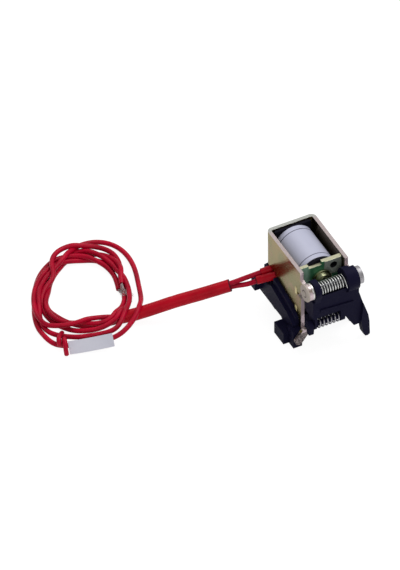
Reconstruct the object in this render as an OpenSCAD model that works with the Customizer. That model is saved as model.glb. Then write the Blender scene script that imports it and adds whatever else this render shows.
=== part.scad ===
// Release coil: a plated yoke with a coil and a sprung trip lever on a black carrier, with coiled leads.
// Millimetres. +X right, -Y front, +Z up, the table is z = 0.
// Short names: f is how far in front of the yoke's front edge, d is how far below the yoke's top edge.

/* [Yoke] */
// outside width of the yoke
yoke_w = 20.8; // [20.2:0.1:21.4]
// outside length of the yoke's side walls
yoke_l = 28.6; // [28:0.1:30]
// height of the yoke's top edge above the table
top_z = 36; // [36:0.1:37]
// thickness of the plated sheet
sheet_t = 1.5; // [1.4:0.05:1.6]
// outside radius of the two rear bends
bend_r = 2.2; // [1.9:0.1:3]
// depth of the walls at the rear
wall_h = 17.6; // [17.5:0.1:18]
// how much deeper the walls are at the front
wall_fall = 3; // [2:0.1:3.4]
// radius of the two pivot ears
ear_r = 3.5; // [3.2:0.1:3.6]
// length of the legs along the walls
leg_l = 5.2; // [4.8:0.1:5.3]
// how far the legs stand in front of the walls
leg_step = 0.7; // [0.4:0.1:0.9]
// width of the turned-out tab
tab_w = 3.3; // [3:0.1:3.6]
// length of the tab between the centres of its ends
tab_l = 4.3; // [4:0.1:4.8]
// lean of the tab from upright
tab_lean = 36; // [32:1:40]

/* [Front plate] */
// how far the plate stands behind the yoke's front edge
plate_set = 2.7; // [2.6:0.1:2.9]
// how far the plate's top is below the yoke's top
plate_drop = 0.6; // [0.4:0.1:0.9]
// height of the plate
plate_h = 21.2; // [20.8:0.1:21.6]
// width of the notch in the plate's top edge
notch_w = 5.6; // [4.8:0.1:6]
// depth of that notch
notch_d = 1.4; // [1:0.1:1.8]
// thickness of the raised pad on the plate
pad_t = 0.5; // [0.3:0.05:0.6]
// radius of the hole in the pad
pad_hole_r = 1.45; // [1.2:0.05:1.5]

/* [Coil] */
// how far the coil's axis is below the yoke's top
axis_d = 8.6; // [8.55:0.05:8.7]
// outside radius of the winding
winding_r = 8.05; // [7.8:0.05:8.15]
// thickness of the paper wrap
wrap_t = 0.15; // [0.1:0.01:0.2]
// thickness of the former's flanges
flange_t = 1.3; // [1:0.1:1.5]
// width of the former's flanges
flange_w = 15.8; // [15.4:0.1:17.6]
// outside radius of the former's tube
tube_r = 4.6; // [4.5:0.05:5]
// radius of the former's bore
bore_r = 3.55; // [3.5:0.05:3.6]

/* [Striker] */
// travel of the striker
stroke = 1.8; // [1.5:0.1:1.8]
// radius of the striker's head
head_r = 2.4; // [2.3:0.05:2.5]
// radius of the push rod
rod_r = 1.5; // [1.3:0.05:1.6]
// running clearance of the sliding and turning fits, on the radius
fit = 0.05; // [0.03:0.01:0.08]
// radius of the bush's flange
bush_r = 4.2; // [4:0.05:4.4]

/* [Lever] */
// how far the pivot is in front of the yoke's front edge
pivot_f = 5; // [4.9:0.05:5.1]
// how far the pivot is below the yoke's top
pivot_d = 6; // [5.9:0.05:6.1]
// radius of the pivot pin
pin_r = 1.5; // [1.3:0.05:1.6]
// radius of the cap on the pin's left end
cap_r = 3.6; // [3.2:0.1:3.8]
// radius of the pin's head
pin_head_r = 3.6; // [3.4:0.1:4]
// thickness of the pin's head
pin_head_t = 1.8; // [1.4:0.1:2]
// radius of the lever's left cheek
cheek_r = 4; // [3.8:0.1:4.2]
// radius of the lever's right boss
boss_r = 5; // [4.9:0.05:5.2]
// how far the lever's flat face is in front of the yoke's front edge
face_f = 7.6; // [7.4:0.1:7.8]
// thickness of the lever's flat face
face_t = 1.7; // [1.5:0.1:1.9]

/* [Springs] */
// outside radius of the lever spring
spring_r = 2.8; // [2.7:0.05:3.1]
// wire radius of the lever spring
wire_r = 0.26; // [0.24:0.01:0.35]
// turns of the lever spring
turns = 9; // [8:1:12]
// outside radius of the pawl spring
low_spring_r = 2; // [1.9:0.05:2.1]
// wire radius of the pawl spring
low_wire_r = 0.25; // [0.2:0.01:0.3]
// turns of the pawl spring
low_turns = 6; // [5:1:8]

/* [Carrier] */
// thickness of the carrier's side rails
rail_t = 2.6; // [2.4:0.1:2.8]
// thickness of the carrier's floor
floor_t = 2; // [1.8:0.1:2.4]
// width of the plinth under the floor
plinth_w = 18; // [16:0.5:20]
// how far the feet stand out from the rails
foot_out = 3.5; // [3:0.1:4]

/* [Leads] */
// radius of a lead
lead_r = 1; // [0.9:0.05:1.05]
// radius of the sleeve over both leads
sleeve_r = 2.2; // [2.15:0.05:2.4]
// mean radius of the wound ring
ring_r = 16.7; // [16:0.1:18]
// how many times longer than wide the ring lies
ring_stretch = 1.34; // [1.28:0.02:1.38]
// radius of the ring's bundle
bundle_r = 3.4; // [3.2:0.1:3.8]
// length of the marker tag
tag_l = 17.4; // [15:0.2:20]
// height of the marker tag
tag_h = 5.4; // [5:0.2:6]

/* [Hidden] */
half_w = yoke_w / 2;
in_w = half_w - sheet_t;
front_y = -yoke_l / 2;
back_y = yoke_l / 2;
plate_y = front_y + plate_set;
wall_z = top_z - wall_h;
axis_z = top_z - axis_d;
pivot_y = front_y - pivot_f;
pivot_z = top_z - pivot_d;
coil_front_y = plate_y + sheet_t;
coil_back_y = back_y - sheet_t;
// the left leg reaches this far below the top, the right one less
leg_d = 29.2;
right_leg_d = 24;
toe_f = 3.5;
toe_d = 27.5;
// the plate's tongues in the walls
tongue_z = [top_z - 13, top_z - 21.6];
tongue_h = [3.2, 2.3];
// pieces along the coil's axis, as distances behind the yoke's front edge
bush_back = 15;
nose_l = 1.7;
nose_r = 3.3;
mouth_gap = 0.45;
gap_l = stroke + 0.2;
rear_play = 1.1;
armature_l = yoke_l - sheet_t - bush_back - gap_l - rear_play;
spring_seat = 2.4;
seat_r = 3;
// the former's flanges
flange_cut = bend_r - sheet_t + 0.1;
flange_top = 3;
rear_flange_top = 0.7;
flange_low = 17.4;
pin_l = 4.4;
// lever along X
washer_t = 0.8;
side_play = 0.2;
cheek_t = 2.5;
cheek_x = -in_w + washer_t + side_play;
boss_x = 5.8;
hood_x = in_w - side_play;
hood_end = half_w + side_play;
boss_end = hood_end + 0.4;
collar_r = 4.3;
cap_t = 0.8;
pin_end = boss_end + side_play;
// the hood over the right ear is open between these angles above the level, out to its reach
hood_up = 75;
hood_down = -50;
hood_reach = boss_r + 4;
// lever seen from the side and from the front
cheek_back = 1.2;
// the cheek is wider below the washer
wide_d = pivot_d + ear_r + 0.6;
wide_x = -in_w + side_play;
face_top = 8;
face_low = 18.6;
finger_side = [[14.6, 24.4], [15.1, 28], [15.3, 34.6], [14.4, 35.2], [13.3, 35], [12.4, 33.6]];
face_right = [[10, face_top], [12.2, 16]];
face_under = [[11.6, 28.6], [9, 28.8], [5.7, 23.2], [3, face_low]];
finger_root = [[11.6, 27], [12.6, 18]];
finger_t = 2;
finger_step = 1.2;
rib_outline = [[-5.6, 14.6], [8.6, 15.6], [8.6, 16.5], [-5.6, 15.8]];
rib_step = 0.5;
stop_x = 9;
stop_t = 2.2;
stop_outline = [[1.6, 10.2], [face_f, 10.2], [face_f, 27], [3.4, 27], [1.6, 20]];
arm_w = 4.4;
arm_f = 0.4;
arm_d = 12.4;
arm_h = 3.1;
// lever spring's straight ends
foot_d = 13.4;
tail_l = 1.2;
// lower spindle
low_f = 5.5;
low_d = 23.2;
low_y = front_y - low_f;
low_z = top_z - low_d;
spindle_r = 1.2;
pawl_r = 2.2;
lug_t = 1;
lug_r = 2;
lug_x = 3.4;
lug_end_t = 1.9;
// carrier
carrier_back = back_y + 1.4;
floor_z = 6;
skirt_t = 1.8;
rear_d = 19.2;
rail_rear_d = 22;
rail_top = [[-22, rear_d], [-19.4, 17.7], [-12, 19.7], [-6, 21.1], [-1, 23.8]];
rail_drop = 3;
gate_l = 7.4;
gate_h = 9;
gate_back = back_y - 1.2;
gate_d = 21.2;
// the lead notch in the left wall reaches up to here
gate_top = 16.2;
foot_z = 5.6;
foot_f = -2.2;
foot_l = 7.8;
rear_foot = [3, 3, 4.4];
block = [3.8, 5, 8];
block_f = 1.7;
// lead routes, in X, Y, Z
a_out = [-half_w, 11.1, 17.9];
b_out = [-half_w, 7.4, 17.4];
sleeve_path = [[-26, 13.7, 14], [-36, 17.3, 11], [-46, 20.9, 8.2], [-55, 24.1, 5.2], [-61, 26.2, 3.4],
    [-66, 27.8, 2.6]];
sleeve_way = unit(sleeve_path[1] - sleeve_path[0]);
lead_side = unit(cross(sleeve_way, [0, 1, 0])) * (lead_r + 0.05);
a_end = sleeve_path[0] - lead_side;
b_end = sleeve_path[0] + lead_side;
pin_a = [-2, coil_back_y - flange_t / 2];
pin_b = [4, coil_back_y - flange_t / 2];
a_way = unit(a_end - a_out);
b_way = unit(b_end - b_out);
a_path = concat([[-2, 12.2, 16.9], [-5.5, 11.5, 17], [-8.4, 11.1, 17.4]],
    [for (k = [0, 5, 10]) a_out + k * a_way], [a_end]);
b_path = concat([[4, 12.2, 15.4], [1, 11, 15.6], [-4, 8.6, 16.4], [-8, 7.5, 17.1]],
    [for (k = [0, 5, 10]) b_out + k * b_way], [b_end]);
ring_at = [-74.2, 47.2];
ring_turn = 62.5;
end_at = [[-2, 0.8], [1, -0.6]];
tag_at = [-92.1, 20.2, 0.2];
joint_in = 0.8;
joint_l = [4.4, 8];
joint_r = 1.4;

function fy(f) = front_y - f;
function dz(d) = top_z - d;
function side_pts(list) = [for (p = list) [fy(p[0]), dz(p[1])]];
function face_pts(list) = [for (p = list) [p[0], dz(p[1])]];
function unit(v) = v / norm(v);
function way(p, i) =
    i == 0 ? unit(p[1] - p[0]) :
    i == len(p) - 1 ? unit(p[i] - p[i - 1]) :
    unit(unit(p[i + 1] - p[i]) + unit(p[i] - p[i - 1]));

// a round wire along points, with sides facets, level with the direction ref
module wire(p, r, sides, ref) {
    rings = [for (i = [0:len(p) - 1]) let (t = way(p, i), u = unit(cross(t, ref)), v = cross(t, u))
        for (k = [0:sides - 1]) p[i] + r * (cos(360 * k / sides) * u + sin(360 * k / sides) * v)];
    last = (len(p) - 1) * sides;
    skin = [for (i = [0:len(p) - 2]) for (k = [0:sides - 1]) let (n = (k + 1) % sides, a = i * sides)
        each [[a + k, a + sides + n, a + n], [a + k, a + sides + k, a + sides + n]]];
    ends = [[for (k = [0:sides - 1]) k], [for (k = [sides - 1:-1:0]) last + k]];
    polyhedron(rings, concat(skin, ends), convexity = 10);
}

// a flat shape drawn in Y and Z, t thick from x
module from_side(x, t) translate([x, 0, 0]) rotate([90, 0, 90]) linear_extrude(t) children();

// a flat shape drawn in X and Z, t thick towards the back from y
module from_front(y, t) translate([0, y + t, 0]) rotate([90, 0, 0]) linear_extrude(t) children();

// puts the Z direction of its children along v from p
module along(p, v) translate(p) rotate([0, acos(v[2]), atan2(v[1], v[0])]) children();

// a round bar along X
module bar_x(x0, x1, r, y, z)
    translate([x0, y, z]) rotate([0, 90, 0]) cylinder(r = r, h = x1 - x0, $fn = 64);

// a round bar along Y on the coil's axis, from f0 in front of the yoke's front edge back to f1
module bar_y(f0, f1, r, x = 0, z = axis_z)
    translate([x, fy(f1), z]) rotate([90, 0, 0]) cylinder(r = r, h = f0 - f1, $fn = 64);

module rounded_back(w, back, r) {
    translate([-w, front_y]) square([2 * w, back - r - front_y]);
    translate([-w + r, front_y]) square([2 * (w - r), back - front_y]);
    for (s = [-1, 1]) translate([s * (w - r), back - r]) circle(r = r, $fn = 64);
}

// side view of one wall below the plain upper band, with its leg
module wall_low(depth)
    polygon(side_pts([[-19, wall_h - 0.2], [-19, wall_h], [-leg_l, wall_h + wall_fall], [-leg_l, depth],
        [leg_step, depth], [leg_step, 12.6], [-1, 12.6], [-1, wall_h - 0.2]]));

module yoke_frame() color("goldenrod") difference() {
    union() {
        difference() {
            translate([0, 0, wall_z]) linear_extrude(wall_h) rounded_back(half_w, back_y, bend_r);
            translate([0, -1, wall_z - 1]) linear_extrude(wall_h + 2)
                rounded_back(in_w, coil_back_y + 1, bend_r - sheet_t);
            translate([-in_w, front_y - 1, wall_z - 1]) cube([2 * in_w, 2, wall_h + 2]);
        }
        from_side(-half_w, sheet_t) {
            wall_low(leg_d);
            polygon(side_pts([[-0.5, 3.5], [3, 4], [pivot_f, 4], [pivot_f, 8.4], [2, 9.2], [-0.5, 9.6]]));
            translate([pivot_y, pivot_z]) circle(r = ear_r, $fn = 64);
            polygon(side_pts([[-1, toe_d], [toe_f, toe_d], [toe_f, leg_d], [-1, leg_d]]));
        }
        from_side(in_w, sheet_t) {
            wall_low(right_leg_d);
            polygon(side_pts([[-0.5, 3.7], [pivot_f, 3.7], [pivot_f, 8.3], [-0.5, 8.3]]));
            translate([pivot_y, pivot_z]) circle(r = ear_r, $fn = 64);
        }
        from_front(fy(toe_f), sheet_t)
            translate([-half_w + 0.4, dz(toe_d + 0.6)]) rotate(180 - tab_lean) {
                translate([-tab_w / 2, 0]) square([tab_w, tab_l]);
                circle(d = tab_w, $fn = 48);
                translate([0, tab_l]) circle(d = tab_w, $fn = 48);
            }
    }
    translate([-half_w - 1, gate_back - gate_l, dz(20)]) cube([sheet_t + 2, gate_l, 20 - gate_top]);
    for (s = [-1, 1]) {
        bar_x(s * half_w - 3, s * half_w + 3, pin_r, pivot_y, pivot_z);
        for (i = [0, 1]) translate([s * half_w - 3, plate_y, tongue_z[i]]) cube([6, sheet_t, tongue_h[i]]);
        // relief under the root of each ear
        translate([s * half_w - 3, fy(1.4), dz(12.6)]) cube([6, 3, 1.6]);
        bar_x(s * half_w - 3, s * half_w + 3, 0.8, fy(-1.6), dz(11.8));
    }
}

module front_plate() color("darkseagreen") difference() {
    union() {
        difference() {
            translate([-in_w, plate_y, dz(plate_drop + plate_h)]) cube([2 * in_w, sheet_t, plate_h]);
            translate([0.4 - notch_w, plate_y - 1, dz(plate_drop + notch_d)])
                cube([notch_w, sheet_t + 2, 5]);
        }
        for (s = [-1, 1]) for (i = [0, 1])
            translate([s * (in_w + half_w) / 2 - sheet_t / 2 - 0.15, plate_y, tongue_z[i]])
                cube([sheet_t + 0.3, sheet_t, tongue_h[i]]);
        from_front(plate_y - pad_t, pad_t)
            polygon(face_pts([[1.6, plate_drop], [8.6, plate_drop], [8.6, 7.6], [5.6, 7.6], [1.6, 3]]));
    }
    bar_y(2, -8, bore_r);
    bar_y(plate_set + pad_t, -plate_set, bush_r + 0.3);
    bar_y(2, -8, pad_hole_r, 5.25, dz(3.5));
}

// one flange from above, its rear corners cut to clear the yoke's bends
module flange_plan() {
    w = flange_w / 2;
    polygon([[-w, 0], [w, 0], [w, flange_t - flange_cut], [w - flange_cut, flange_t],
        [flange_cut - w, flange_t], [-w, flange_t - flange_cut]]);
}

module bobbin() color("dimgray") difference() {
    union() {
        for (end = [[coil_front_y, flange_top], [coil_back_y - flange_t, rear_flange_top]])
            translate([0, end[0], dz(flange_low)]) linear_extrude(flange_low - end[1]) flange_plan();
        bar_y(-plate_set - sheet_t, -plate_set - sheet_t - flange_t, winding_r);
        bar_y(-plate_set - sheet_t, sheet_t - yoke_l, tube_r);
    }
    bar_y(0, -yoke_l, bore_r);
}

module winding() color("peru") difference() {
    bar_y(-plate_set - sheet_t - flange_t, sheet_t + flange_t - yoke_l, winding_r);
    bar_y(0, -yoke_l, tube_r);
}

module coil_label() color("white") difference() {
    bar_y(-plate_set - sheet_t - flange_t - 0.2, sheet_t + flange_t + 0.2 - yoke_l, winding_r + wrap_t);
    bar_y(0, -yoke_l, winding_r);
}

module pole_bush() color("khaki") difference() {
    union() {
        bar_y(-plate_set, -bush_back, bore_r);
        bar_y(1 - plate_set, -plate_set, bush_r);
        bar_y(nose_l + 1 - plate_set, -plate_set, nose_r);
    }
    bar_y(2, -3, head_r + mouth_gap);
    bar_y(0, -bush_back - 1, rod_r + fit);
    bar_y(-bush_back + spring_seat, -bush_back - 1, seat_r);
}

module armature() color("silver") difference() {
    bar_y(-bush_back - gap_l, -bush_back - gap_l - armature_l, bore_r - fit);
    bar_y(-bush_back, -bush_back - gap_l - armature_l + 2, rod_r);
    bar_y(-bush_back, -bush_back - gap_l - spring_seat, seat_r);
}

module striker() color("lightgray") {
    bar_y(-1, -bush_back - gap_l - armature_l + 2, rod_r);
    difference() {
        bar_y(-0.2, -2.6, head_r);
        // turned chamfer ring on the head's face
        translate([0, fy(-0.2), axis_z]) rotate([90, 0, 0]) rotate_extrude($fn = 64)
            polygon([[head_r - 0.4, 0], [head_r + 0.1, 0.1], [head_r + 0.1, -0.5], [head_r, -0.4]]);
    }
}

module armature_spring() color("silver") {
    r = seat_r - 0.35;
    y0 = fy(-bush_back + spring_seat) + 0.3;
    l = gap_l + 2 * spring_seat - 0.6;
    coil = [for (i = [0:72]) [r * cos(i * 25), y0 + l * i / 72, axis_z + r * sin(i * 25)]];
    wire(coil, 0.2, 6, [0, 1, 0]);
}

module pivot_pin() color("gainsboro") {
    bar_x(-half_w - 0.2, pin_end + 0.2, pin_r, pivot_y, pivot_z);
    bar_x(pin_end, pin_end + pin_head_t, pin_head_r, pivot_y, pivot_z);
    // flat cap with the peened end in its middle
    translate([-half_w, pivot_y, pivot_z]) rotate([0, -90, 0]) rotate_extrude($fn = 64)
        polygon([[0, 0], [cap_r, 0], [cap_r, cap_t - 0.25], [cap_r - 0.25, cap_t], [pin_r, cap_t],
            [pin_r - 0.2, cap_t - 0.15], [pin_r - 0.4, cap_t + 0.2], [0.5, cap_t + 0.35],
            [0, cap_t + 0.35]]);
}

module pin_washer() color("gainsboro") difference() {
    bar_x(-in_w, -in_w + washer_t, ear_r, pivot_y, pivot_z);
    bar_x(-half_w, 0, pin_r + fit, pivot_y, pivot_z);
}

module trip_lever() color("darkslategray") difference() {
    union() {
        // left cheek
        from_side(cheek_x, cheek_t) {
            translate([pivot_y, pivot_z]) circle(r = cheek_r, $fn = 64);
            polygon(side_pts([[cheek_back, pivot_d + 1], [pivot_f + cheek_r - 0.2, pivot_d + 1],
                [face_f, pivot_d + 5], [face_f, face_low], [cheek_back, face_low]]));
        }
        from_side(wide_x, cheek_x + 0.2 - wide_x)
            polygon(side_pts([[cheek_back, wide_d], [face_f, wide_d], [face_f, face_low],
                [cheek_back, face_low]]));
        from_side(cheek_x, lug_t) {
            polygon(side_pts([[cheek_back, face_low - 1], [face_f, face_low - 1], [face_f, face_low + 1.4],
                [low_f + lug_r, low_d], [low_f - lug_r, low_d], [cheek_back, face_low + 0.4]]));
            translate([low_y, low_z]) circle(r = lug_r, $fn = 48);
        }
        // flat face with the finger on its right
        from_front(fy(face_f), face_t)
            polygon(face_pts(concat([[cheek_x, face_top]], face_right, finger_side, face_under,
                [[cheek_x, face_low]])));
        // rib across the face
        from_front(fy(face_f + rib_step), rib_step + 0.1) polygon(face_pts(rib_outline));
        // thicker finger and its stop block
        from_front(fy(face_f + finger_step), finger_t) polygon(face_pts(concat(finger_side, finger_root)));
        from_side(stop_x, stop_t) polygon(side_pts(stop_outline));
        // lug for the spindle's right end
        from_side(lug_x, lug_end_t)
            polygon(side_pts([[low_f - lug_r, low_d], [face_f - 1, face_low - 1],
                [face_f - 0.1, face_low - 1], [face_f - 0.1, low_d]]));
        bar_x(lug_x, lug_x + lug_end_t, lug_r, low_y, low_z);
        bar_x(boss_x, hood_end, boss_r, pivot_y, pivot_z);
        bar_x(boss_x, boss_end, collar_r, pivot_y, pivot_z);
        // arm that the striker pushes
        translate([-arm_w / 2, fy(face_f - 0.5), dz(arm_d)]) cube([arm_w, face_f - 0.5 - arm_f, arm_h]);
    }
    bar_x(-half_w, half_w + 5, pin_r + fit, pivot_y, pivot_z);
    bar_x(-half_w, half_w, spindle_r, low_y, low_z);
    // room for the spring, and a hood over the right ear
    bar_x(cheek_x + cheek_t, boss_x, spring_r + 0.4, pivot_y, pivot_z);
    bar_x(hood_x, hood_end, ear_r + 0.4, pivot_y, pivot_z);
    from_side(hood_x, hood_end - hood_x)
        polygon(concat([[pivot_y, pivot_z]],
            [for (i = [0:3]) let (w = hood_up + (hood_down - hood_up) * i / 3)
                [pivot_y + hood_reach * cos(w), pivot_z + hood_reach * sin(w)]]));
}

module lever_spring() color("silver") {
    r = spring_r - wire_r;
    x0 = cheek_x + cheek_t + wire_r + 0.15;
    x1 = boss_x - wire_r - 0.15;
    n = turns * 20;
    sweep = turns * 360 + 135;
    end = [x1, pivot_y - r * cos(45), pivot_z + r * sin(45)];
    coil = [for (i = [0:n]) let (a = 180 + sweep * i / n)
        [x0 + (x1 - x0) * i / n, pivot_y - r * cos(a), pivot_z - r * sin(a)]];
    foot = [x0, pivot_y + r, dz(foot_d)];
    start = [[x0, plate_y - wire_r, dz(foot_d) - 2 * wire_r], foot + [0, 4 * wire_r, -2 * wire_r],
        foot + [0, wire_r, wire_r]];
    tail = [for (k = [1, 2]) end - k * tail_l * [0, 1, 1]];
    wire(concat(start, coil, tail), wire_r, 6, [1, 0, 0]);
}

module lower_spindle() color("silver") {
    bar_x(-half_w + 0.3, lug_x + 2.2, spindle_r, low_y, low_z);
}

module pawl() color("darkslategray") difference() {
    union() {
        bar_x(-half_w + 0.4, cheek_x - 0.2, pawl_r, low_y, low_z);
        from_side(-half_w + 0.4, cheek_x - 0.6 + half_w)
            polygon(side_pts([[low_f - 1.7, low_d], [low_f + 2.1, low_d], [low_f + 1.7, low_d + 3.4],
                [low_f + 0.8, low_d + 4.2], [low_f - 1, low_d + 3.8]]));
    }
    bar_x(-half_w, half_w, spindle_r + fit, low_y, low_z);
}

module pawl_spring() color("silver") {
    r = low_spring_r - low_wire_r;
    x0 = cheek_x + lug_t + low_wire_r + 0.1;
    x1 = lug_x - low_wire_r - 0.1;
    n = low_turns * 16;
    wire([for (i = [0:n]) let (a = low_turns * 360 * i / n)
        [x0 + (x1 - x0) * i / n, low_y + r * sin(a), low_z + r * cos(a)]], low_wire_r, 6, [1, 0, 0]);
}

module solder_pins() color("tan") {
    for (p = [pin_a, pin_b]) translate([p[0], p[1], dz(flange_low) - pin_l])
        cylinder(r = 0.4, h = pin_l, $fn = 32);
}

module lead_a() color("crimson") wire(a_path, lead_r, 8, [0, 0, 1]);

module lead_b() color("crimson") wire(b_path, lead_r, 8, [0, 0, 1]);

module joint_sleeves() color("firebrick") {
    for (j = [[a_out, a_way, joint_l[0]], [b_out, b_way, joint_l[1]]]) difference() {
        along(j[0] - joint_in * j[1], j[1]) cylinder(r = joint_r, h = j[2], $fn = 64);
        along(j[0] - (joint_in + 1) * j[1], j[1]) cylinder(r = lead_r, h = j[2] + 2, $fn = 64);
    }
}

module bundle_sleeve() color("red") wire(sleeve_path, sleeve_r, 12, [0, 0, 1]);

module lead_coil() color("crimson")
    translate([ring_at[0], ring_at[1], bundle_r]) rotate([0, 0, ring_turn]) scale([ring_stretch, 1, 1])
        rotate_extrude($fn = 72) translate([ring_r, 0]) circle(r = bundle_r, $fn = 24);

module marker_tag() color("white")
    translate(tag_at) rotate([0, 0, -11]) rotate([22, 0, 0])
        cube([tag_l, tag_h, 0.5]);

module tinned_ends() color("lightgray") {
    for (p = end_at) translate([ring_at[0], ring_at[1], 2 * bundle_r + 0.3]) rotate([0, 0, ring_turn])
        translate([p[0], p[1] - ring_r, 0]) rotate([0, -90, 0]) cylinder(r = 0.5, h = 5, $fn = 32);
}

module carrier_rail(s) {
    // inner and outer step of one side rail, open for the leads on the left
    for (step = [0, 1]) {
        x = s > 0 ? half_w + step * rail_t / 2 : -half_w - (step + 1) * rail_t / 2;
        drop = [0, rail_drop * step];
        foot_back = foot_f - foot_l;
        difference() {
            from_side(x, rail_t / 2)
                polygon(concat([[carrier_back, floor_z + 1.5], [carrier_back, dz(rail_rear_d) - drop[1]]],
                    side_pts([for (p = rail_top) p + drop]),
                    [[fy(-1), foot_z - 0.2], [fy(foot_back - 0.4), foot_z - 0.2],
                        [fy(foot_back - 1), floor_z + 0.2], [fy(foot_back - 6), floor_z + 0.6],
                        [fy(foot_back - 6), floor_z - 0.4]]));
            if (s < 0) translate([x - 1, gate_back - gate_l, dz(gate_d)]) cube([rail_t, gate_l, gate_h]);
        }
    }
}

module carrier_base() color("darkslategray") {
    y_floor = front_y + leg_l + 0.4;
    for (s = [-1, 1]) {
        carrier_rail(s);
        // sill under each wall of the yoke
        difference() {
            from_side(s > 0 ? in_w - 0.4 : -half_w, sheet_t + 0.4)
                polygon(concat([[back_y, floor_z], [back_y, wall_z]],
                    side_pts([[-19, wall_h], [-leg_l - 0.4, wall_h + wall_fall]]),
                    [[y_floor, floor_z]]));
            if (s < 0) translate([-half_w - 1, gate_back - gate_l, dz(gate_d)])
                cube([sheet_t + 3, gate_l, gate_h]);
        }
        // feet
        under = s > 0 ? 0.8 : rail_t;
        translate([s > 0 ? half_w + rail_t - under : -half_w - rail_t - foot_out, fy(foot_f), 0])
            cube([under + foot_out, foot_l, foot_z]);
        translate([s > 0 ? half_w + rail_t - 0.5 : -half_w - rail_t - rear_foot[0],
            carrier_back - rear_foot[1], floor_z + 1.6]) cube(rear_foot + [0.5, 0, 0]);
    }
    translate([-half_w - rail_t, y_floor, floor_z])
        cube([yoke_w + 2 * rail_t, carrier_back - y_floor, floor_t]);
    translate([-half_w, back_y, floor_z]) cube([yoke_w, carrier_back - back_y, dz(rear_d) - floor_z]);
    // hollow plinth
    difference() {
        translate([-plinth_w / 2, y_floor, 0]) cube([plinth_w, yoke_l - leg_l - 1, floor_z + 0.2]);
        translate([-plinth_w / 2 + skirt_t, y_floor + skirt_t, -1])
            cube([plinth_w - 2 * skirt_t, yoke_l - leg_l - 1 - 2 * skirt_t, floor_z + 1]);
    }
    // rib across the plinth's hollow
    translate([-plinth_w / 2, -skirt_t / 2, 0]) cube([plinth_w, skirt_t, floor_z + 0.2]);
    // block beside the left leg
    translate([-half_w - block[0], fy(block_f), 0]) cube(block);
}

carrier_base();
yoke_frame();
front_plate();
bobbin();
winding();
coil_label();
pole_bush();
armature();
striker();
armature_spring();
pivot_pin();
pin_washer();
trip_lever();
lever_spring();
lower_spindle();
pawl();
pawl_spring();
solder_pins();
lead_a();
lead_b();
joint_sleeves();
bundle_sleeve();
lead_coil();
marker_tag();
tinned_ends();
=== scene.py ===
import bpy
import math
import numpy as np
from mathutils import Vector, Matrix


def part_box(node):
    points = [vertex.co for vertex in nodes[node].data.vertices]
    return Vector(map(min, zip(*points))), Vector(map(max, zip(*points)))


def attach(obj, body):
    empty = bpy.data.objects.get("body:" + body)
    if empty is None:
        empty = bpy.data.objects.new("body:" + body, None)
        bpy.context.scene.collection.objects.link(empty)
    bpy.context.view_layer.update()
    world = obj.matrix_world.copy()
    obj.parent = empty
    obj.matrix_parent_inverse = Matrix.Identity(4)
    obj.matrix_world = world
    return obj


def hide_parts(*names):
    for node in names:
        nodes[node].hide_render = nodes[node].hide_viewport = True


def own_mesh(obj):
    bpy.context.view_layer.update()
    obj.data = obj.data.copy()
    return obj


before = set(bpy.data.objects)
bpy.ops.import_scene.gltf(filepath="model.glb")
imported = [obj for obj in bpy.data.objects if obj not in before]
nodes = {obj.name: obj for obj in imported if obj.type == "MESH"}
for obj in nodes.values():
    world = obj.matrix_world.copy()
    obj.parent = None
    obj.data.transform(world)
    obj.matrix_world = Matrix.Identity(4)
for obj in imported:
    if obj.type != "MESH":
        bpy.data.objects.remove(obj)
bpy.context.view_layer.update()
mm = 0.001

# camera: a parallel view from above the front left corner, its picture this tall in metres
shot = {"target": (-0.0293, 0.0328, 0.0), "back": (-0.341, -0.655, 0.674), "distance": 0.8, "tall": 0.2192,
        "clipEnd": 10}


def deselect():
    if bpy.context.object and bpy.context.object.mode != "OBJECT":
        bpy.ops.object.mode_set(mode="OBJECT")
    bpy.ops.object.select_all(action="DESELECT")


def setCamera():
    deselect()
    target, back = Vector(shot["target"]), Vector(shot["back"]).normalized()
    bpy.ops.object.camera_add(location=target + back * shot["distance"])
    camera = bpy.context.object
    camera.rotation_euler = back.to_track_quat("Z", "Y").to_euler()
    camera.data.type = "ORTHO"
    camera.data.ortho_scale = shot["tall"]
    camera.data.clip_end = shot["clipEnd"]
    bpy.context.scene.camera = camera


class Value:  # a socket that takes part in plain maths
    def __init__(self, paint, socket):
        self.paint, self.socket = paint, socket

    def maths(self, operation, first, second):
        return self.paint.node("ShaderNodeMath", {"operation": operation}, {0: first, 1: second})

    def __add__(self, other):
        return self.maths("ADD", self, other)

    def __radd__(self, other):
        return self.maths("ADD", other, self)

    def __sub__(self, other):
        return self.maths("SUBTRACT", self, other)

    def __rsub__(self, other):
        return self.maths("SUBTRACT", other, self)

    def __mul__(self, other):
        return self.maths("MULTIPLY", self, other)

    def __rmul__(self, other):
        return self.maths("MULTIPLY", other, self)

    def __pow__(self, other):
        return self.maths("POWER", self, other)

    def __lt__(self, other):
        return self.maths("LESS_THAN", self, other)

    def __abs__(self):
        return self.maths("ABSOLUTE", self, 0.0)


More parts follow.
